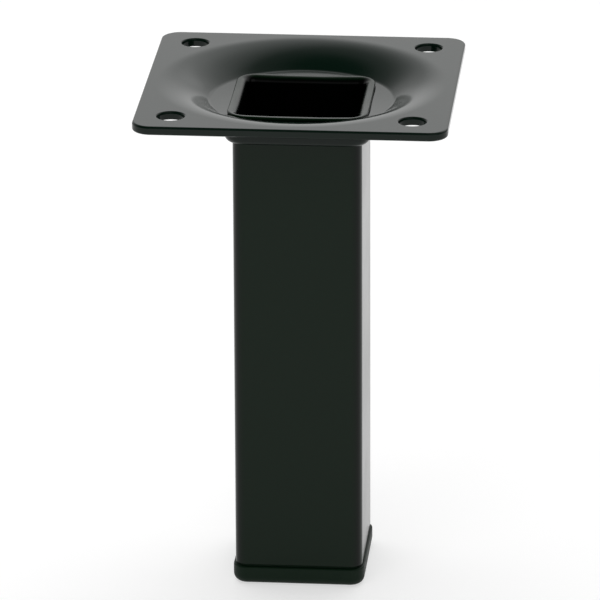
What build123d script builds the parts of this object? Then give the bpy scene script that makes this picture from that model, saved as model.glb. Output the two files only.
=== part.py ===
from build123d import *
import os
from math import asin, cos, sin, sqrt, tan

# A short square furniture leg in millimetres, +Z up.
# The origin is the middle of the foot's underside, so the leg stands on the plane z = 0.
# The plate's screw face is the highest surface, at z = overall_height.

overall_height = 100.0

# The mounting plate is one pressed sheet: a flat square with a screw hole in each corner.
plate_side = 60.0
plate_corner = 3.75
sheet = 1.7
plate_edge_break = 0.25
screw_hole_diameter = 5.3
screw_hole_inset = 7.0

# A round dish is pressed into the plate. Its wall leaves the flat in a wide bend, like a trumpet,
# and turns into the flat floor in a tight one.
dish_margin = 1.8
dish_depth = 3.8
dish_foot_bend = 1.4
floor_margin = 0.05

# The floor's square hole is drawn downwards into a collar that holds the tube.
# Drawing stretches the sheet, so the collar's wall is a little thinner.
collar_length = 3.3
collar_wall = 1.5
collar_entry_slope = 0.65
collar_lip_round = 1.3
collar_clearance = 0.05

# The square tube runs through the collar, and its upper end is turned out flat over the dish floor.
tube_side = 25.0
tube_wall = 1.0
tube_corner = 2.4
flange_thickness = 0.7
flange_flat = 0.35
flange_corner_pull = 0.3

# The moulded foot cap: a shoe under the tube's end, and a hollow plug with fins inside the tube.
cap_height = 3.7
cap_proud = 0.4
cap_foot_round = 1.6
cap_rim_break = 0.3
cap_floor = 2.6
shadow_gap = 0.4
neck_setback = 0.4
plug_height = 14.0
plug_gap = 0.75
plug_wall = 1.4
plug_corner_cut = 1.6
plug_lead_in = 0.8
fin_count = 4
fin_thickness = 0.8
fin_clearance = 0.05
first_fin_gap = 1.6

# How far a cut runs past the face it opens, and how near counts as touching when edges are picked.
cut_past = 1.0
near = 0.01

# Heights of the seats, all counted from the floor that the leg stands on.
tube_foot_z = cap_height + shadow_gap
dish_floor_z = overall_height - dish_depth
flange_top_z = dish_floor_z + flange_thickness
collar_foot_z = dish_floor_z - sheet - collar_length

# The tube's inside, which the plug and its fins fit.
bore_side = tube_side - 2 * tube_wall
bore_corner = tube_corner - tube_wall

# Turning the tube's end over: its outside follows the slope at the collar's entry.
flange_slope = collar_entry_slope + collar_clearance
flange_side = tube_side + 2 * (flange_slope + flange_flat)
flange_corner = tube_corner + flange_slope + flange_flat
flange_inner_bend = flange_slope + tube_wall

# The metal is pulled back at the flange's corners, where it had to stretch, so they are rounder.
pulled_corner = flange_corner + flange_corner_pull * (1 + sqrt(2))
flange_corner_reach = (flange_side / 2 - pulled_corner) * sqrt(2) + pulled_corner

# The dish floor is just wide enough for the flange's corners.
dish_floor_radius = flange_corner_reach + floor_margin
dish_mouth_radius = plate_side / 2 - dish_margin


def square_bar(side, corner, low, high):
    """A square bar with rounded long edges, standing on the Z axis between two heights."""
    return extrude(Plane.XY.offset(low) * RectangleRounded(side, side, corner), high - low)


def cut_bar(side, corner_cut, low, high):
    """A square bar with its long edges cut off at 45 degrees, standing between two heights."""
    outline = Rectangle(side, side)
    outline = chamfer(outline.vertices(), corner_cut)
    return extrude(Plane.XY.offset(low) * outline, high - low)


def rim_edges(solid, height):
    """All edges of the solid that lie flat at one height."""
    found = solid.edges().filter_by_position(Axis.Z, height - near, height + near)
    return [edge for edge in found if edge.bounding_box().size.Z < near]


def inner_rim_edges(solid, height, side):
    """The edges at one height that lie on or inside a square of the given side."""
    reach = side / 2 + near
    return [
        edge
        for edge in rim_edges(solid, height)
        if max(abs((edge @ 0.5).X), abs((edge @ 0.5).Y)) < reach
    ]


def dish_section():
    """Half section of the dish, from its axis out to the flat, with the sheet's full thickness.

    Two bends that touch each other join the flat to the floor, and both turn by the same angle.
    With reach r and depth d between their ends, their radii add up to (r * r + d * d) / (2 * d).
    The foot bend is an arc. The wide bend is a parabola with the tangents of its arc.
    """
    reach = dish_mouth_radius - dish_floor_radius
    radii = (reach**2 + dish_depth**2) / (2 * dish_depth)
    turn = asin(reach / radii)

    def wide_bend(radius):
        centre_z = overall_height - (radii - dish_foot_bend)
        start = (dish_mouth_radius, centre_z + radius)
        tangents_meet = (dish_mouth_radius - radius * tan(turn / 2), centre_z + radius)
        end = (dish_mouth_radius - radius * sin(turn), centre_z + radius * cos(turn))
        return start, tangents_meet, end

    def foot_bend(radius):
        centre_z = dish_floor_z + dish_foot_bend
        return [
            (dish_floor_radius + radius * sin(share * turn), centre_z - radius * cos(share * turn))
            for share in (1, 0.5, 0)
        ]

    top_wide = wide_bend(radii - dish_foot_bend)
    top_foot = foot_bend(dish_foot_bend)
    under_wide = wide_bend(radii - dish_foot_bend - sheet)
    under_foot = foot_bend(dish_foot_bend + sheet)
    top_axis = (0, dish_floor_z)
    under_axis = (0, dish_floor_z - sheet)
    outline = [
        Bezier(*top_wide),
        ThreePointArc(*top_foot),
        Line(top_foot[2], top_axis),
        Line(top_axis, under_axis),
        Line(under_axis, under_foot[2]),
        ThreePointArc(*reversed(under_foot)),
        Bezier(*reversed(under_wide)),
        Line(under_wide[0], top_wide[0]),
    ]
    return make_face(Plane.XZ * Curve(outline))


def build_mounting_plate():
    """The stamped plate: flat, dish, drawn collar and screw holes."""
    flat_foot_z = overall_height - sheet
    flat = square_bar(plate_side, plate_corner, flat_foot_z, overall_height)
    flat = chamfer(flat.edges().filter_by(Axis.Z, reverse=True), plate_edge_break)
    mouth_cut = Pos(0, 0, flat_foot_z) * Cylinder(
        dish_mouth_radius, sheet, align=(Align.CENTER, Align.CENTER, Align.MIN)
    )
    pressing = (flat - mouth_cut) + revolve(dish_section(), Axis.Z)

    # The collar starts as a closed bar under the floor, and its hole is cut last.
    hole_side = tube_side + 2 * collar_clearance
    hole_corner = tube_corner + collar_clearance
    collar_side = hole_side + 2 * collar_wall
    collar_corner = hole_corner + collar_wall
    pressing += square_bar(collar_side, collar_corner, collar_foot_z, dish_floor_z - sheet / 2)
    lip_round = min(collar_lip_round, collar_wall - near)
    pressing = fillet(rim_edges(pressing, collar_foot_z), lip_round)
    hole_top_z = overall_height + cut_past
    pressing -= square_bar(hole_side, hole_corner, collar_foot_z - cut_past, hole_top_z)
    pressing = chamfer(inner_rim_edges(pressing, dish_floor_z, hole_side), collar_entry_slope)

    hole_pitch = plate_side - 2 * screw_hole_inset
    drill = Cylinder(screw_hole_diameter / 2, 2 * (sheet + cut_past))
    for spot in GridLocations(hole_pitch, hole_pitch, 2, 2):
        pressing -= Pos(0, 0, overall_height) * spot * drill
    return pressing


def build_leg_tube():
    """The square tube with its upper end turned out over the dish floor."""
    tube = square_bar(tube_side, tube_corner, tube_foot_z, flange_top_z)
    tube += square_bar(flange_side, flange_corner, dish_floor_z, flange_top_z)
    tube = chamfer(inner_rim_edges(tube, dish_floor_z, tube_side), flange_slope)
    tube -= square_bar(bore_side, bore_corner, tube_foot_z - cut_past, flange_top_z + cut_past)
    tube = fillet(inner_rim_edges(tube, flange_top_z, bore_side), flange_inner_bend)
    return tube & square_bar(flange_side, pulled_corner, tube_foot_z, flange_top_z)


def build_end_cap():
    """The moulded foot: shoe, neck, hollow plug and the fins that grip the tube's inside."""
    cap_side = tube_side + 2 * cap_proud
    cap = square_bar(cap_side, tube_corner + cap_proud, 0, cap_height)
    cap = fillet(rim_edges(cap, 0), cap_foot_round)
    cap = chamfer(rim_edges(cap, cap_height), cap_rim_break)

    # The neck is set back from the tube's faces, which leaves the shadow gap under the tube's end.
    neck_side = tube_side - 2 * neck_setback
    cap += square_bar(neck_side, tube_corner - neck_setback, cap_floor, tube_foot_z)

    plug_side = bore_side - 2 * plug_gap
    plug_top_z = tube_foot_z + plug_height
    plug = cut_bar(plug_side, plug_corner_cut, cap_floor, plug_top_z)
    cap += chamfer(rim_edges(plug, plug_top_z), plug_lead_in)
    fin_side = bore_side - 2 * fin_clearance
    first_fin_z = tube_foot_z + first_fin_gap
    last_fin_z = plug_top_z - plug_lead_in - fin_thickness
    fin_pitch = (last_fin_z - first_fin_z) / (fin_count - 1)
    for number in range(fin_count):
        fin_z = first_fin_z + number * fin_pitch
        cap += cut_bar(fin_side, bore_corner, fin_z, fin_z + fin_thickness)

    # The cut corners of the core keep the plug's wall the same all round.
    core_side = plug_side - 2 * plug_wall
    core_corner_cut = max(plug_corner_cut - plug_wall * (2 - sqrt(2)), near)
    return cap - cut_bar(core_side, core_corner_cut, cap_floor, plug_top_z + cut_past)


os.makedirs("parts", exist_ok=True)
for name, build in (
    ("mounting_plate", build_mounting_plate),
    ("leg_tube", build_leg_tube),
    ("end_cap", build_end_cap),
):
    solid = build()
    export_step(solid, f"parts/{name}.step")
    print(name, "volume", round(solid.volume, 1), "solids", len(solid.solids()))
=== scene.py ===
# %% [markdown]
# # A short furniture leg: pressed plate, square tube and moulded foot
#
# The leg has three real pieces. A square sheet of steel is pressed into a round dish with a
# square collar under it. A square steel tube hangs in that collar by its turned-out end. A
# moulded cap is pushed into the tube's lower end. The CAD frame gives each piece its size and
# place. This lesson gives them finer surfaces and the finishes that they have in the hand.

import bmesh
import bpy
import numpy as np
from mathutils import Matrix, Vector


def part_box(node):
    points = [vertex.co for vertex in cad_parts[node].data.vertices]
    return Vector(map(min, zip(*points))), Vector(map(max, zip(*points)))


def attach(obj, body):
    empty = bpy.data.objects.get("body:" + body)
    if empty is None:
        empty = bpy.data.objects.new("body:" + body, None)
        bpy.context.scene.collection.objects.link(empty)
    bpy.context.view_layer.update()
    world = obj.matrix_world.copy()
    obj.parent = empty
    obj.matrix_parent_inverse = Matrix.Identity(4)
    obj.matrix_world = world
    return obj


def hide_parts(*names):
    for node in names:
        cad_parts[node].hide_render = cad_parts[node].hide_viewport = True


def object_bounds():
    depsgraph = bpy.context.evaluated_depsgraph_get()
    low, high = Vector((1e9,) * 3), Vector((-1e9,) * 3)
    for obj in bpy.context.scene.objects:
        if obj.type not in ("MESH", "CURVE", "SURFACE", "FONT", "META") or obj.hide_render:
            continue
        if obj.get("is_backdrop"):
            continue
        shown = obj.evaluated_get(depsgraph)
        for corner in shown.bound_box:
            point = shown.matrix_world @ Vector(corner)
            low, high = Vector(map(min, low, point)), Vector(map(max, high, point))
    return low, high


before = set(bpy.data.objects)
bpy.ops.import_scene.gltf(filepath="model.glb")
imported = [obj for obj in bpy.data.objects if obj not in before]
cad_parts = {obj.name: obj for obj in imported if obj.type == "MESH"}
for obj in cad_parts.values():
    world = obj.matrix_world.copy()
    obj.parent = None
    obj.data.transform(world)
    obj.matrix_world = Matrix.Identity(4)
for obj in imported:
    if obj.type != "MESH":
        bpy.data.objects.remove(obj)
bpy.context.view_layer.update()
print("CAD nodes:", sorted(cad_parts))

# %% [markdown]
# ## One way to draw all three pieces
#
# Each piece is a section carried round an upright axis. A lathe would make every ring a circle,
# but here the rings change from rounded squares at the tube to circles in the dish. Box modelling
# with bevels could make them too, but each bend would need its own edges picked by hand. A ring is
# therefore described by three numbers: half its side, the radius of its corners and its height.
# A circle is a rounded square whose corner radius is half its side, so one formula draws them all.

# %% The ring formula
mm = 0.001
columns_per_quarter = 96


def ring_columns(per_quarter):
    """Directions of the columns, in radians, crowded towards the four corners.

    Within a quarter, u runs from -1 to 1 and the angle from the corner is 45 degrees times
    (0.25 u + 0.75 u cubed). So the columns stand ten times closer at a corner than half way
    along a side.
    """
    u = np.linspace(-1, 1, per_quarter, endpoint=False)
    from_corner = np.pi / 4 * (0.25 * u + 0.75 * u**3)
    corners = np.pi / 4 + np.pi / 2 * np.arange(4)
    return (corners[:, None] + from_corner[None, :]).ravel()


def reach(half, corner, direction):
    """How far a ray from the axis goes to the outline of a rounded square.

    The ray is folded to within 45 degrees of an axis. If it meets the flat side, its length is
    half the side over the cosine. Otherwise it meets the corner's arc, whose centre is at k, k
    with k = half - corner. Its length is k (cos + sin) + root(corner^2 - k^2 (cos - sin)^2).
    """
    half, corner = np.asarray(half, float)[..., None], np.asarray(corner, float)[..., None]
    folded = np.abs((direction + np.pi / 4) % (np.pi / 2) - np.pi / 4)
    cos, sin = np.cos(folded), np.sin(folded)
    k = half - corner
    on_side = half * sin / cos <= k
    on_arc = k * (cos + sin) + np.sqrt(np.maximum(corner**2 - k**2 * (cos - sin) ** 2, 0))
    return np.where(on_side, half / cos, on_arc)


directions = ring_columns(columns_per_quarter)
print("columns round each piece:", len(directions))

# %% [markdown]
# ## Sections drawn as tables
#
# A section is a table with one line for each ring. A bend is an arc between two straight runs.
# Sheet metal and mouldings never have a razor edge, so every edge below is a small bend, and
# that is what catches the light. A straight run gets extra rings very near its ends, which
# keeps the smooth shading of the bend from spreading over the flat.

# %% Helpers for a section
# How near to its two ends a straight run has its extra rings, in mm.
tight = 0.04


def ring(outline, inset, height):
    """A ring (half, corner, height) on an outline (half, corner), or parallel to it.

    Both the half side and the corner radius are the outline's less the inset. An inset below
    zero makes the ring larger.
    """
    half, corner = outline
    return (half - inset, corner - inset, height)


def run(start, end, rings=2):
    """A straight run between two rings: start + share x (end - start), crowded at its ends.

    The shares are 0, then tight mm in, even steps, tight mm before the end, and 1. On a short
    run the crowded rings stand no more than a fifth of its length from its ends.
    """
    start, end = np.array(start, float), np.array(end, float)
    near = min(tight / np.hypot(end[0] - start[0], end[2] - start[2]), 0.2)
    share = np.concatenate([[0], np.linspace(near, 1 - near, rings), [1]])
    return start + share[:, None] * (end - start)


def bend(centre, radius, start, end, rings=7):
    """A bend in the section: half = centre + radius cos(angle), height likewise with sin.

    centre is (half, corner, height) of the bend's middle, and start and end are in degrees. The
    corner radius grows and shrinks with half, as it does on parallel outlines.
    """
    angle = np.radians(np.linspace(start, end, rings))
    step = radius * np.cos(angle)
    return np.stack([centre[0] + step, centre[1] + step, centre[2] + radius * np.sin(angle)], 1)


print("half sides of an edge of 1 mm:", bend((9, 2, 0), 1, 0, 90, 4)[:, 0].round(2).tolist())


# %% From sections to a grid of points and faces
def swept(section):
    """Reaches of a section's rings in all directions, and the rings' heights as a column."""
    return reach(section[:, 0], section[:, 1], directions), section[:, 2, None]


def surface_points(out, height):
    """Grid points from each ring's reach and height: x = out cos, y = out sin, z = height."""
    height = np.broadcast_to(height, out.shape)
    return np.stack([out * np.cos(directions), out * np.sin(directions), height], -1)


def grid_faces(rings, columns, closed):
    """Quads between neighbouring rings, round from the last column to the first.

    The result has one row of four point numbers for each ring and column. A closed grid also
    joins its last ring to its first.
    """
    low = np.arange(rings if closed else rings - 1)[:, None]
    column = np.arange(columns)[None, :]
    high, beside = (low + 1) % rings, (column + 1) % columns
    corners = [
        low * columns + column,
        low * columns + beside,
        high * columns + beside,
        high * columns + column,
    ]
    return np.stack([np.broadcast_to(c, (len(low), columns)) for c in corners], -1)


print("faces between two rings:", len(grid_faces(2, len(directions), closed=False)[0]))


# %% From points and faces to a piece
def make_piece(name, points, faces):
    """A mesh object from points in mm and a list of arrays of faces, turned outwards.

    Points that no face uses are dropped.
    """
    rows = [face for group in faces for face in group.reshape(-1, group.shape[-1]).tolist()]
    mesh = bpy.data.meshes.new(name)
    mesh.from_pydata((points.reshape(-1, 3) * mm).tolist(), [], rows)
    shaped = bmesh.new()
    shaped.from_mesh(mesh)
    bmesh.ops.delete(shaped, geom=[v for v in shaped.verts if not v.link_faces], context="VERTS")
    bmesh.ops.recalc_face_normals(shaped, faces=shaped.faces)
    open_edges = sum(not e.is_manifold for e in shaped.edges)
    volume = shaped.calc_volume(signed=True) / mm**3
    shaped.to_mesh(mesh)
    shaped.free()
    mesh.polygons.foreach_set("use_smooth", np.ones(len(mesh.polygons), bool))
    mesh.update()
    piece = bpy.data.objects.new(name, mesh)
    bpy.context.collection.objects.link(piece)
    print(name, "faces", len(mesh.polygons), "open edges", open_edges, "volume mm3", round(volume, 1))
    return piece


print("points in mm times", mm, "are points in metres")

# %% [markdown]
# ## The pressed plate
#
# On the real leg this is one blank of 1.7 mm steel. A press draws the dish. Its wall leaves the
# flat in a wide trumpet bend, runs straight for a little and turns into the floor in a tight
# bend. The floor's square throat is drawn down into a collar. A Solidify modifier over a single
# sheet could give the thickness, but the collar's rounded lip and root need their own shape, so
# the section goes all the way round the metal: up the throat, over the top, round the edge and
# back underneath. The dish floor is not quite flat: it rises by 0.2 mm towards the wall, where
# drawn metal springs back a little. That rise shows as a bright crescent behind the tube's rim.

# %% The plate's sizes, in mm
sheet, collar_wall = 1.7, 1.5
top, floor = 100.0, 96.2
plate, edge_round = (30.0, 3.75), 0.42
throat, throat_entry, throat_hem = (12.55, 2.45), 0.65, 0.2
collar = (throat[0] + collar_wall, throat[1] + collar_wall)
collar_foot, lip_round, root_bend = 91.2, 1.3, 0.8
print("collar side", 2 * collar[0], "mm, its foot", round(top - collar_foot, 2), "mm under the top")

# %% The dish's wall
mouth_radius, floor_radius, foot_bend = 28.2, 17.48, 1.4
rise_start, rise_slope, wall_angle = 13.3, 0.045, 34.0
foot_height = floor + rise_slope * (floor_radius - rise_start)
dish_reach, dish_depth = mouth_radius - floor_radius, top - foot_height
wall_sin, wall_cos = np.sin(np.radians(wall_angle)), np.cos(np.radians(wall_angle))
# The radii of the two bends add up to (reach x tan(angle) - depth) / (1 / cos(angle) - 1).
both_bends = (dish_reach * wall_sin / wall_cos - dish_depth) / (1 / wall_cos - 1)
wide_bend = both_bends - foot_bend
print("wide bend radius", round(wide_bend, 2), "mm, turning", wall_angle, "degrees")


# %% The throat and the dish floor
def circle(radius, height):
    """A ring that is a circle: half its side and its corner radius are both the radius."""
    return (radius, radius, height)


def floor_rise(out):
    """How far the dish floor has risen at a distance from the axis: slope x (out - start)."""
    return rise_slope * np.maximum(out - rise_start, 0)


def between(first, last, shares):
    """Rings between two others, as reaches: first + share x (last - first)."""
    return first + shares[:, None] * (last - first)


up_the_throat = np.concatenate([
    bend(ring(throat, -throat_hem, collar_foot + throat_hem), throat_hem, 270, 180, 5),
    run(ring(throat, 0, collar_foot + throat_hem), ring(throat, 0, floor - throat_entry))[1:-1],
    bend(ring(throat, -throat_entry, floor - throat_entry), throat_entry, 180, 90),
])
floor_shares = np.array([0.06, 0.3, 0.6, 0.94])
floor_start = reach(up_the_throat[-1, 0], up_the_throat[-1, 1], directions)
floor_end = reach(floor_radius, floor_radius, directions)
floor_out = between(floor_start, floor_end, floor_shares)
print("rings: throat", len(up_the_throat), "dish floor", len(floor_out))

# %% The dish, the flat and the plate's edge
foot_centre, wide_centre = foot_height + foot_bend, top - wide_bend
foot_arc = bend(circle(floor_radius, foot_centre), foot_bend, 270, 270 + wall_angle, 8)
wide_arc = bend(circle(mouth_radius, wide_centre), wide_bend, 90 + wall_angle, 90, 24)
dish = np.concatenate([foot_arc, run(foot_arc[-1], wide_arc[0], 3)[1:-1], wide_arc])

flat_shares = np.append(np.linspace(0, 0.97, 32)[1:], 0.992)
flat_start = reach(mouth_radius, mouth_radius, directions)
flat_end = reach(plate[0] - edge_round, plate[1] - edge_round, directions)
flat_out = between(flat_start, flat_end, flat_shares)
edge = np.concatenate([
    bend(ring(plate, edge_round, top - edge_round), edge_round, 90, 0, 8),
    run(ring(plate, 0, top - edge_round), ring(plate, 0, top - sheet + edge_round))[1:-1],
    bend(ring(plate, edge_round, top - sheet + edge_round), edge_round, 0, -90, 8),
])
print("rings: dish", len(dish), "flat", len(flat_out), "edge", len(edge))


# %% [markdown]
# ### The underside
#
# Underneath, the collar's corners stand out past the dish floor and run into the sloping wall. So
# the height there is worked out from the distance to the axis, and the collar's root is a curve
# from that slope down to the wall. It is a Bezier curve with its middle point where slope and
# wall would meet, which a press tool's rounding resembles closely.

# %% The underside of the plate
def height_under(out):
    """Height of the dish's underside at a distance from the axis: floor, foot arc, cone, wide arc.

    Both arcs are parallel to the top's: the foot arc is one sheet larger, the wide one smaller.
    The cone's height is its height at the foot arc's end plus tan(wall angle) x distance.
    """
    foot, wide = foot_bend + sheet, wide_bend - sheet
    cone_start, cone_end = floor_radius + foot * wall_sin, mouth_radius - wide * wall_sin
    short_of_mouth = np.maximum(mouth_radius - out, 0)
    on_floor = floor - sheet + floor_rise(out)
    on_foot = foot_centre - np.sqrt(np.maximum(foot**2 - (out - floor_radius) ** 2, 0))
    on_cone = foot_centre - foot * wall_cos + (out - cone_start) * wall_sin / wall_cos
    on_wide = wide_centre + np.sqrt(np.maximum(wide**2 - short_of_mouth**2, 0))
    zones = [out < floor_radius, out < cone_start, out < cone_end]
    return np.select(zones, [on_floor, on_foot, on_cone], on_wide)


def bezier(start, middle, end, share):
    """A Bezier curve: (1 - s)^2 x start + 2 s (1 - s) x middle + s^2 x end, with s the share."""
    return (1 - share) ** 2 * start + 2 * share * (1 - share) * middle + share**2 * end


under_shares = np.linspace(0, 1, 44)[1:-1]
root_share = np.linspace(0, 1, 9)[:, None]
collar_out = reach(*collar, directions)
root_out = collar_out + root_bend
under_out = between(flat_start, root_out, under_shares)
root_meet = height_under(collar_out)
root_outs = bezier(root_out, collar_out, collar_out, root_share)
root_heights = bezier(height_under(root_out), root_meet, root_meet - root_bend, root_share)
lip_height = collar_foot + lip_round
collar_section = np.concatenate([
    run(ring(collar, 0, floor - sheet - root_bend), ring(collar, 0, lip_height))[1:-1],
    bend(ring(collar, lip_round, lip_height), lip_round, 0, -90, 12),
])
collar_outs, collar_heights = swept(collar_section)
collar_heights = collar_heights + np.zeros_like(directions)
collar_heights[0] = root_heights[-1] - tight
print("underside rings:", len(under_out) + len(root_outs) + len(collar_outs))

# %% Stack the plate's rings into one closed grid
stack = [
    swept(up_the_throat),
    (floor_out, floor + floor_rise(floor_out)),
    swept(dish),
    (flat_out, top),
    swept(edge),
    (flat_out[::-1], top - sheet),
    (flat_start[None, :], top - sheet),
    (under_out, height_under(under_out)),
    (root_outs, root_heights),
    (collar_outs, collar_heights),
]
plate_points = np.concatenate([surface_points(out, height) for out, height in stack])
first_rings = np.cumsum([0] + [len(out) for out, _ in stack])
flat_first, under_first = first_rings[3], first_rings[5]
rings, columns = plate_points.shape[:2]
plate_faces = grid_faces(rings, columns, closed=True)
print("plate grid:", rings, "rings of", columns, "points")


# %% [markdown]
# ### Four screw holes
#
# The holes could be cut with a Boolean modifier, but that leaves long thin faces across the
# flat, which show in a glossy coat. Instead a block of the grid is left out round each hole, above
# and below, and a sleeve joins the two openings: it runs in to the hole's rounded edge, down the
# wall and out again underneath.

# %% A sleeve for a screw hole
screw_radius, screw_edge, screw_pitch = 2.65, 0.3, 46.0
sleeve_shares = np.array([0.35, 0.7, 0.97, 1.0])
edge_angles = np.radians(np.linspace(90, 0, 6))[1:]


def block_outline(low, high, inner, outer):
    """Once round a block of the grid, as the ring and the column of each point.

    It goes along the inner ring, out along the high column, back along the outer ring and in
    along the low column.
    """
    across, along = np.arange(low, high), np.arange(inner, outer)
    loop_rings = [np.full(len(across), inner), along, np.full(len(across), outer), along[::-1] + 1]
    loop_columns = [across, np.full(len(along), high), across[::-1] + 1, np.full(len(along), low)]
    return np.concatenate(loop_rings), np.concatenate(loop_columns)


def sleeve_rings(loop_xy, centre):
    """Rings of points from a block's outline above, through the hole, to the outline below.

    On the flats a ring is outline + share x (hole's edge - outline). Round the edge it is
    radius + edge (1 - cos(angle)) from the centre and edge (1 - sin(angle)) down, with the angle
    going from 90 degrees to 0.
    """
    toward = loop_xy - centre
    toward /= np.linalg.norm(toward, axis=1)[:, None]
    hole_rim = centre + (screw_radius + screw_edge) * toward
    flat_part = loop_xy + sleeve_shares[:, None, None] * (hole_rim - loop_xy)
    round_out = screw_radius + screw_edge * (1 - np.cos(edge_angles))
    round_drop = screw_edge * (1 - np.sin(edge_angles))
    wall_out = np.concatenate([round_out, round_out[::-1]])
    wall_drop = np.concatenate([round_drop, sheet - round_drop[::-1]])
    wall_part = centre + wall_out[:, None, None] * toward
    xy = np.concatenate([flat_part, wall_part, flat_part[::-1]])
    above, below = np.zeros(len(sleeve_shares)), np.full(len(sleeve_shares), sheet)
    z = top - np.concatenate([above, wall_drop, below])
    return np.concatenate([xy, np.broadcast_to(z[:, None, None], (*xy.shape[:2], 1))], -1)


print("screw holes", 2 * screw_radius, "mm wide on a", screw_pitch, "mm square")

# %% Join the four sleeves to the plate
half_block, block_start, block_end = 22, 1, 21
inner, outer = flat_first + block_start, flat_first + block_end
last_under = under_first + len(flat_out) - 1
kept = np.ones((rings, columns), bool)
sleeve_points, sleeve_faces = [], []
for quarter in range(4):
    middle = quarter * columns_per_quarter + columns_per_quarter // 2
    low, high = middle - half_block, middle + half_block
    loop_rings, loop_columns = block_outline(low, high, inner, outer)
    rings_under = last_under - (loop_rings - flat_first)
    kept[inner:outer, low:high] = False
    kept[rings_under.min():rings_under.max(), low:high] = False
    above = loop_rings * columns + loop_columns
    below = rings_under * columns + loop_columns
    signs = np.sign([np.cos(directions[middle]), np.sin(directions[middle])])
    new = sleeve_rings(plate_points.reshape(-1, 3)[above, :2], screw_pitch / 2 * signs)
    first = rings * columns + sum(len(points) for points in sleeve_points)
    new_ids = first + np.arange(len(new) * len(above)).reshape(len(new), len(above))
    ids = np.concatenate([above[None], new_ids, below[None]])
    turned = np.roll(ids, -1, axis=1)
    sleeve_faces.append(np.stack([ids[:-1], turned[:-1], turned[1:], ids[1:]], -1))
    sleeve_points.append(new.reshape(-1, 3))

plate_all = np.concatenate([plate_points.reshape(-1, 3), *sleeve_points])
pressed_plate = make_piece("pressed_plate", plate_all, [plate_faces[kept], *sleeve_faces])

# %% [markdown]
# ## The square tube
#
# The real tube is welded steel tube with a 1 mm wall. Its upper end has been turned out over the
# dish floor, so the mouth is a smooth funnel and the cut edge shows as a narrow rim. The metal
# stretches most at the corners and is drawn in there, so the rim's corners are rounder than a
# parallel outline. Turning the end over presses the rim flat, so the bend inside the mouth is
# tighter than one parallel to the outside. The rim follows the rise of the dish floor. The
# section again goes all the way round the metal.

# %% The tube's sizes, in mm
tube, wall_thick = (12.5, 2.4), 1.0
bore = (tube[0] - wall_thick, tube[1] - wall_thick)
rim, rim_thick, rim_round, rim_lift = (13.55, 4.174), 0.7, 0.3, 0.34
outer_bend, inner_bend, cut_round, corner_pull = 0.7, 1.3, 0.1, 1.1
rim_top, tube_foot = floor + rim_thick, 4.1
# The metal from the floor up follows the floor's rise in full, and rise_fade mm lower not at all.
rise_fade = 1.0
print("tube length", round(rim_top - tube_foot, 2), "mm, rim side", 2 * rim[0], "mm")

# %% The tube's section
cut_height, turn_height = tube_foot + cut_round, floor - outer_bend
outer_turn = bend(ring(tube, -outer_bend, turn_height), outer_bend, 180, 90)
# Drawing the corners in adds corner_pull x the way out to the bend's corner radius.
outer_turn[:, 1] += corner_pull * (outer_turn[:, 0] - tube[0])
tube_section = np.concatenate([
    bend(ring(tube, cut_round, cut_height), cut_round, -90, 0, 4),
    run(ring(tube, 0, cut_height), ring(tube, 0, turn_height), 6)[1:-1],
    outer_turn,
    bend(ring(rim, rim_lift, floor + rim_lift), rim_lift, -90, 0),
    bend(ring(rim, rim_round, rim_top - rim_round), rim_round, 0, 90),
    bend(ring(bore, -inner_bend, rim_top - inner_bend), inner_bend, 90, 180, 16),
    run(ring(bore, 0, rim_top - inner_bend), ring(bore, 0, cut_height), 6)[1:-1],
    bend(ring(bore, -cut_round, cut_height), cut_round, 180, 270, 4),
])
tube_out, tube_height = swept(tube_section)
near_rim = np.clip((tube_height - floor + rise_fade) / rise_fade, 0, 1)
tube_points = surface_points(tube_out, tube_height + near_rim * floor_rise(tube_out))
tube_faces = grid_faces(len(tube_section), len(directions), closed=True)
square_tube = make_piece("square_tube", tube_points, [tube_faces])

# %% [markdown]
# ## The moulded foot cap
#
# The cap is one plastic moulding. Outside there is only the shoe, a little wider than the tube,
# with its foot rounded so that the leg slides over a floor, and a set-back neck that leaves a dark
# line under the tube. Inside the tube are the hollow plug and its fins. All of it is one section
# from the middle of the sole, up the outside and down the core, closed by a point at each end.

# %% The cap's sizes, in mm
shoe, neck, plug, fin, core = (12.9, 2.8), (12.1, 2.0), (10.75, 1.2), (11.45, 1.35), (9.35, 0.5)
shoe_height, foot_round, shoe_edge = 3.7, 1.6, 0.3
plug_top, lead_in, core_floor = 18.1, 0.8, 2.6
fin_count, fin_thick, fin_edge, first_fin_gap = 4, 0.8, 0.1, 1.6
sole_rings, core_ring = [(4.0, 0.5, 0.0), (11.2, 1.1, 0.0)], (3.0, 0.4, core_floor)
print("shadow gap", round(tube_foot - shoe_height, 2), "mm, plug up to", plug_top, "mm")

# %% The cap's section
fin_foot = np.linspace(tube_foot + first_fin_gap, plug_top - lead_in - fin_thick, fin_count)
fin_section = np.array([
    ring(plug, 0, 0),
    ring(fin, fin_edge, 0),
    ring(fin, 0, fin_edge),
    ring(fin, 0, fin_thick - fin_edge),
    ring(fin, fin_edge, fin_thick),
    ring(plug, 0, fin_thick),
])
fins = (fin_section[None] + fin_foot[:, None, None] * np.array([0, 0, 1])).reshape(-1, 3)
cap_section = np.concatenate([
    sole_rings,
    bend(ring(shoe, foot_round, foot_round), foot_round, -90, 0, 14),
    run(ring(shoe, 0, foot_round), ring(shoe, 0, shoe_height - shoe_edge), 3)[1:-1],
    bend(ring(shoe, shoe_edge, shoe_height - shoe_edge), shoe_edge, 0, 90),
    run(ring(shoe, shoe_edge, shoe_height), ring(neck, 0, shoe_height))[1:],
    run(ring(neck, 0, shoe_height), ring(neck, 0, tube_foot))[1:],
    [ring(plug, 0, tube_foot)],
    fins,
    [ring(plug, 0, plug_top - lead_in), (plug[0] - lead_in, plug[1], plug_top)],
    [ring(core, 0, plug_top), ring(core, 0, core_floor), core_ring],
])
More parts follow.
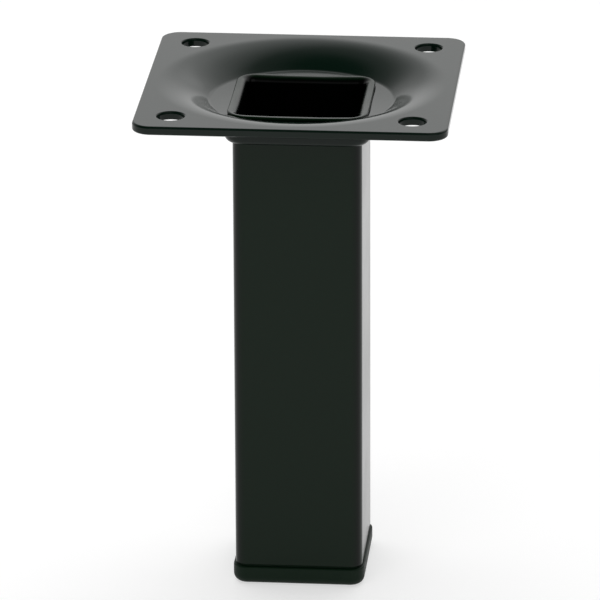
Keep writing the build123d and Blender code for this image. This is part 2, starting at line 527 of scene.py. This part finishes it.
print("cap rings:", len(cap_section), "of them for the fins:", len(fins))

# %% Close the cap's grid with a fan at each end
cap_points = surface_points(*swept(cap_section)).reshape(-1, 3)
cap_all = np.concatenate([cap_points, [(0, 0, 0), (0, 0, core_floor)]])
spokes = np.arange(len(directions))
following = np.roll(spokes, -1)
last_ring = len(cap_points) - len(spokes)
sole_middle, core_middle = np.full_like(spokes, len(cap_points)), np.full_like(spokes, len(cap_points) + 1)
sole_fan = np.stack([following, spokes, sole_middle], 1)
core_fan = np.stack([last_ring + spokes, last_ring + following, core_middle], 1)
cap_faces = grid_faces(len(cap_section), len(spokes), closed=False)
foot_cap = make_piece("foot_cap", cap_all, [cap_faces, sole_fan, core_fan])


# %% [markdown]
# ## A few words for materials
#
# A material is a tree of small steps. It could be put together by hand in the shader editor, but
# the same few steps come back in every finish here. So each gets a short name: add a node, do a
# sum, spread one range of values over another, read a noise, start a material, raise its bumps.

# %% Helpers for nodes
def node(tree, kind, **settings):
    """Add a shader node, and set its properties or its input sockets by name."""
    made = tree.nodes.new(kind)
    for key, value in settings.items():
        if key in made.inputs:
            made.inputs[key].default_value = value
        else:
            setattr(made, key, value)
    return made


def worked_out(tree, operation, *sources):
    """The result of a Math node on sockets: the operation of all the sources in order."""
    made = node(tree, "ShaderNodeMath", operation=operation)
    for number, source in enumerate(sources):
        tree.links.new(source, made.inputs[number])
    return made.outputs[0]


def spread(tree, source, before, after, **settings):
    """A socket's value, taken from one range to another by a Map Range node.

    It is after's start + (value - before's start) x after's length / before's length, and it
    stays within after.
    """
    made = node(tree, "ShaderNodeMapRange", **settings)
    for socket, value in zip(("From Min", "From Max", "To Min", "To Max"), (*before, *after)):
        made.inputs[socket].default_value = value
    tree.links.new(source, made.inputs["Value"])
    return made.outputs["Result"]


print("helpers for nodes:", [step.__name__ for step in (node, worked_out, spread)])


# %% Helpers for materials
def noise(tree, place, scale, detail):
    """Noise at a place, with values round 0.5. Its bumps are about 1 / scale metres wide."""
    made = node(tree, "ShaderNodeTexNoise", Scale=scale, Detail=detail)
    tree.links.new(place, made.inputs["Vector"])
    return made.outputs["Fac"]


def start_material(name):
    """A new material with nodes: the material itself, its tree of nodes and its shader."""
    material = bpy.data.materials.new(name)
    material.use_nodes = True
    return material, material.node_tree, material.node_tree.nodes["Principled BSDF"]


def raise_bumps(tree, shader, height, strength, distance):
    """Let a height tilt the shader's normal, as if the surface rose and fell by the distance."""
    bump = node(tree, "ShaderNodeBump", Strength=strength, Distance=distance)
    tree.links.new(height, bump.inputs["Height"])
    tree.links.new(bump.outputs["Normal"], shader.inputs["Normal"])


print("helpers for materials:", [step.__name__ for step in (noise, start_material, raise_bumps)])

# %% [markdown]
# ## The black powder coat
#
# Powder is sprayed on dry and melts in an oven into a skin about 0.1 mm thick. It flows, but not
# quite flat: it keeps a faint orange peel, and its gloss varies a little from place to place. An
# image texture could hold that, but noise on object coordinates needs no unwrapping and keeps the
# same grain on every piece. Two noises do it: one near a millimetre for the peel, and one near
# two centimetres for the gloss. Within 11.7 mm of the axis, measured square to the faces, the
# colour turns nearly black: that is painted shade for the inside of the tube's mouth and bore.

# %% The coat's material
# Near the axis the colour is painted shade, nearly black: full within the first distance in metres, gone
# beyond the second.
painted_shade_within, unshaded_beyond = 0.0117, 0.0125
painted_shade_colour = (0.0003, 0.0006, 0.0004, 1)
gloss_scale, gloss_change = 60.0, 0.02
peel_scale, peel_strength, peel_height = 900.0, 0.25, 0.00001


def coated_steel(name, colour, roughness, ior):
    """Powder coat: dark base, satin gloss with slow changes, and a fine orange peel as bump.

    The distance from the axis is the larger of |x| and |y|, in metres. The colour goes from a
    painted shade, nearly black, to the coat's between two such distances.
    """
    material, tree, shader = start_material(name)
    place = node(tree, "ShaderNodeTexCoord").outputs["Object"]
    shader.inputs["IOR"].default_value = ior
    where = node(tree, "ShaderNodeSeparateXYZ")
    tree.links.new(place, where.inputs["Vector"])
    far_x = worked_out(tree, "ABSOLUTE", where.outputs["X"])
    far_y = worked_out(tree, "ABSOLUTE", where.outputs["Y"])
    from_axis = worked_out(tree, "MAXIMUM", far_x, far_y)
    # Painted shade: the colour darkens to nearly black towards the axis, inside the tube.
    shade_tint = node(tree, "ShaderNodeMix", data_type="RGBA")
    shade_tint.inputs["A"].default_value = painted_shade_colour
    shade_tint.inputs["B"].default_value = (*colour, 1)
    tree.links.new(spread(tree, from_axis, (painted_shade_within, unshaded_beyond), (0, 1)), shade_tint.inputs["Factor"])
    tree.links.new(shade_tint.outputs["Result"], shader.inputs["Base Color"])
    slow = noise(tree, place, gloss_scale, 3.0)
    gloss = spread(tree, slow, (0.3, 0.7), (roughness - gloss_change, roughness + gloss_change))
    tree.links.new(gloss, shader.inputs["Roughness"])
    peel = noise(tree, place, peel_scale, 2.0)
    raise_bumps(tree, shader, peel, peel_strength, peel_height)
    print(name, "nodes", len(tree.nodes))
    return material


plate_coat = coated_steel("plate_powder_coat", (0.0022, 0.0085, 0.005), 0.1, 1.3)
tube_coat = coated_steel("tube_powder_coat", (0.001, 0.009, 0.0025), 0.18, 1.27)

# %% [markdown]
# ## The cap's moulded grain
#
# The cap is black plastic from a spark-eroded mould, which gives it a fine matt grain. It is
# rougher than the coat, so it mirrors nothing and looks a little greyer at its rounded edges. The
# grain's bumps are about a fifth of a millimetre wide, and the roughness changes with them.

# %% The cap's material
matt_change = 0.06
grain_scale, grain_strength, grain_height = 5000.0, 0.5, 0.00003


def moulded_plastic(name, colour, roughness, ior):
    """Moulded plastic: one dark colour, a fine grain as bump, and roughness that follows it."""
    material, tree, shader = start_material(name)
    place = node(tree, "ShaderNodeTexCoord").outputs["Object"]
    shader.inputs["Base Color"].default_value = (*colour, 1)
    shader.inputs["IOR"].default_value = ior
    grain = noise(tree, place, grain_scale, 2.0)
    matt = spread(tree, grain, (0.35, 0.65), (roughness - matt_change, roughness + matt_change))
    tree.links.new(matt, shader.inputs["Roughness"])
    raise_bumps(tree, shader, grain, grain_strength, grain_height)
    print(name, "nodes", len(tree.nodes))
    return material


cap_plastic = moulded_plastic("cap_moulded_plastic", (0.003, 0.0115, 0.005), 0.5, 1.25)

# %% [markdown]
# ## Put the finer surfaces in the CAD frame
#
# Each finer surface stands for the CAD node of the same piece. It rides on the one body that
# the leg has, and takes one of the finishes made above.

# %% Tie the pieces to the frame
for piece, cad_node, slot, coat in (
    (pressed_plate, "mounting_plate", "coated_plate", plate_coat),
    (square_tube, "leg_tube", "coated_tube", tube_coat),
    (foot_cap, "end_cap", "moulded_cap", cap_plastic),
):
    piece.data.materials.append(coat)
    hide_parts(cad_node)
    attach(piece, "root")
    box_low, box_high = np.array(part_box(cad_node))
    points = np.array([v.co for v in piece.data.vertices])
    beyond = max(*(box_low - points.min(0)), *(points.max(0) - box_high))
    print(piece.name, "reaches past its CAD node by", round(beyond * 1000, 3), "mm")

# %% [markdown]
# ## The floor
#
# The leg stands on a plain pale floor. A white backdrop could be lit until it is white, but that
# light would fall on the leg too. So the floor's own material adds a little glow, which only the
# camera, mirror images and clear things see, and the leg's shadow stays on it. The floor lies a
# hair below the sole, so that the two don't share a plane. It is clear from below, so that the
# underside can be seen.

# %% Floor
floor_half, floor_drop = 3.0, 0.00005
floor_mesh = bpy.data.meshes.new("studio_floor")
floor_corners = floor_half * np.array([(-1, -1, 0), (1, -1, 0), (1, 1, 0), (-1, 1, 0)])
floor_mesh.from_pydata((floor_corners - (0, 0, floor_drop)).tolist(), [], [(0, 1, 2, 3)])
studio_floor = bpy.data.objects.new("studio_floor", floor_mesh)
bpy.context.collection.objects.link(studio_floor)
studio_floor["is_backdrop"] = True
print("floor side in m:", 2 * floor_half)

# %% The floor's paint
floor_grey, floor_glow = 0.58, 0.52
pale_floor, paint, paint_shader = start_material("pale_floor")
paint_shader.inputs["Base Color"].default_value = (floor_grey, floor_grey, floor_grey, 1)
paint_shader.inputs["Roughness"].default_value = 0.9
paint_shader.inputs["Specular IOR Level"].default_value = 0.0
paint_shader.inputs["Emission Color"].default_value = (1, 1, 1, 1)
rays = node(paint, "ShaderNodeLightPath").outputs
seen = worked_out(paint, "MAXIMUM", rays["Is Camera Ray"], rays["Is Glossy Ray"])
seen_too = worked_out(paint, "MAXIMUM", seen, rays["Is Transmission Ray"])
paint.links.new(spread(paint, seen_too, (0, 1), (0, floor_glow)), paint_shader.inputs["Emission Strength"])
one_way = node(paint, "ShaderNodeMixShader")
paint.links.new(node(paint, "ShaderNodeNewGeometry").outputs["Backfacing"], one_way.inputs[0])
paint.links.new(paint_shader.outputs["BSDF"], one_way.inputs[1])
paint.links.new(node(paint, "ShaderNodeBsdfTransparent").outputs["BSDF"], one_way.inputs[2])
paint.links.new(one_way.outputs["Shader"], paint.nodes["Material Output"].inputs["Surface"])
floor_mesh.materials.append(pale_floor)
print("floor paint nodes:", len(paint.nodes))

# %% [markdown]
# ## The room
#
# A black glossy thing shows its surroundings more than its own colour, so the room round the leg
# matters as much as the coat. It is only the colours of the world. A bright wall behind the leg
# lights up the flat plate and is dimmer near the floor. The ceiling darkens with height and turns
# the far side of the dish black. The half in front is dark, which draws the dark line along the
# plate's front edge. Three places glow: the wall where the flat plate mirrors it, high up on the
# right for the left of the dish, and behind the camera for views from the back.

# %% The world's levels and directions
tilt = (-0.35, 0.0, 0.937)
wall_to_ceiling_levels = (
    (0.0, 0.55), (0.27, 0.86), (0.5, 0.86), (0.616, 0.62),
    (0.743, 0.4), (0.848, 0.3), (0.94, 0.07), (0.985, 0.03),
)
glows = (
    ((0.068, 0.976, 0.208), (0.93, 0.985), 0.38),
    ((0.324, 0.694, 0.643), (0.88, 0.99), 0.7),
    ((0.45, -0.86, 0.24), (0.75, 0.97), 0.5),
)
front_to_back, dark_to_bright = (-0.3, 0.35), (0.08, 1.0)
print("levels from floor to ceiling:", [level for _, level in wall_to_ceiling_levels])

# %% World
world = bpy.data.worlds.new("studio_world")
bpy.context.scene.world = world
world.use_nodes = True
air = world.node_tree
looking = node(air, "ShaderNodeTexCoord").outputs["Generated"]


def facing(direction):
    """How nearly one looks in a direction: the dot product of the two, 1 when they are one."""
    made = node(air, "ShaderNodeVectorMath", operation="DOT_PRODUCT")
    made.inputs[1].default_value = direction
    air.links.new(looking, made.inputs[0])
    return made.outputs["Value"]


wall_to_ceiling = node(air, "ShaderNodeValToRGB")
stops = wall_to_ceiling.color_ramp.elements
for number, (place, level) in enumerate(wall_to_ceiling_levels):
    stop = stops[number] if number < 2 else stops.new(place)
    stop.position, stop.color = place, (level, level, level, 1)
air.links.new(facing(tilt), wall_to_ceiling.inputs["Fac"])
parts = node(air, "ShaderNodeSeparateXYZ")
air.links.new(looking, parts.inputs["Vector"])
soft = {"interpolation_type": "SMOOTHSTEP"}
room = spread(air, parts.outputs["Y"], front_to_back, dark_to_bright, **soft)
so_far = worked_out(air, "MULTIPLY", wall_to_ceiling.outputs["Color"], room)
for middle, edge_and_core, amount in glows:
    glow = spread(air, facing(middle), edge_and_core, (0.0, amount), **soft)
    so_far = worked_out(air, "ADD", glow, so_far)
air.links.new(so_far, air.nodes["Background"].inputs["Color"])
print("world nodes:", len(air.nodes))


# %% [markdown]
# ## Two soft lamps
#
# Lamps in view would put hard shapes into the coat, so two large soft ones are left out of the
# reflections. They give the floor its light and the leg its soft shadow.

# %% Lamps
leg_middle = Vector((0, 0, 0.06))


def soft_lamp(name, place, width, height, radiance):
    """A rectangular lamp that faces the leg. Its power is pi times its area times its radiance."""
    light = bpy.data.lights.new(name, "AREA")
    light.shape, light.size, light.size_y = "RECTANGLE", width, height
    light.energy = np.pi * width * height * radiance
    lamp = bpy.data.objects.new(name, light)
    lamp.location = place
    lamp.rotation_euler = (leg_middle - Vector(place)).to_track_quat("-Z", "Y").to_euler()
    lamp.visible_glossy = False
    lamp.visible_camera = False
    bpy.context.collection.objects.link(lamp)
    print(name, "power W", round(light.energy, 2))


soft_lamp("overhead_softbox", (-0.15, 0.25, 0.9), 1.1, 1.1, 1.4)
soft_lamp("front_softbox", (-0.25, -1.3, 0.75), 1.6, 1.2, 1.5)

# %% [markdown]
# ## The camera
#
# A long lens from a little over a metre keeps the leg's uprights nearly parallel, as they are in
# a catalogue picture. The camera looks down by 20 degrees, stands 5 degrees to the right and is
# rolled by a quarter of a degree.

# %% Camera
azimuth, elevation, roll = np.radians([5.0315, 20.0251, -0.243])
ahead = Vector((
    -np.sin(azimuth) * np.cos(elevation),
    np.cos(azimuth) * np.cos(elevation),
    -np.sin(elevation),
))
level_right = Vector((np.cos(azimuth), np.sin(azimuth), 0))
level_up = level_right.cross(ahead)
right = level_right * np.cos(roll) + level_up * np.sin(roll)
up = level_up * np.cos(roll) - level_right * np.sin(roll)
lens = bpy.data.cameras.new("camera")
lens.lens, lens.sensor_width = 369.045, 36.0
lens.clip_start, lens.clip_end = 0.01, 20.0
camera = bpy.data.objects.new("camera", lens)
camera.matrix_world = Matrix((right, up, -ahead)).transposed().to_4x4()
camera.location = (0.098512, -1.124727, 0.46658)
bpy.context.collection.objects.link(camera)
bpy.context.scene.camera = camera
bpy.context.scene.view_settings.view_transform = "Standard"
print("camera looks down by", round(float(np.degrees(elevation)), 2), "degrees")

# %% Note the box round the leg and finish
low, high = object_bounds()
print("box in mm:", [round(v * 1000, 2) for v in (*low, *high)])
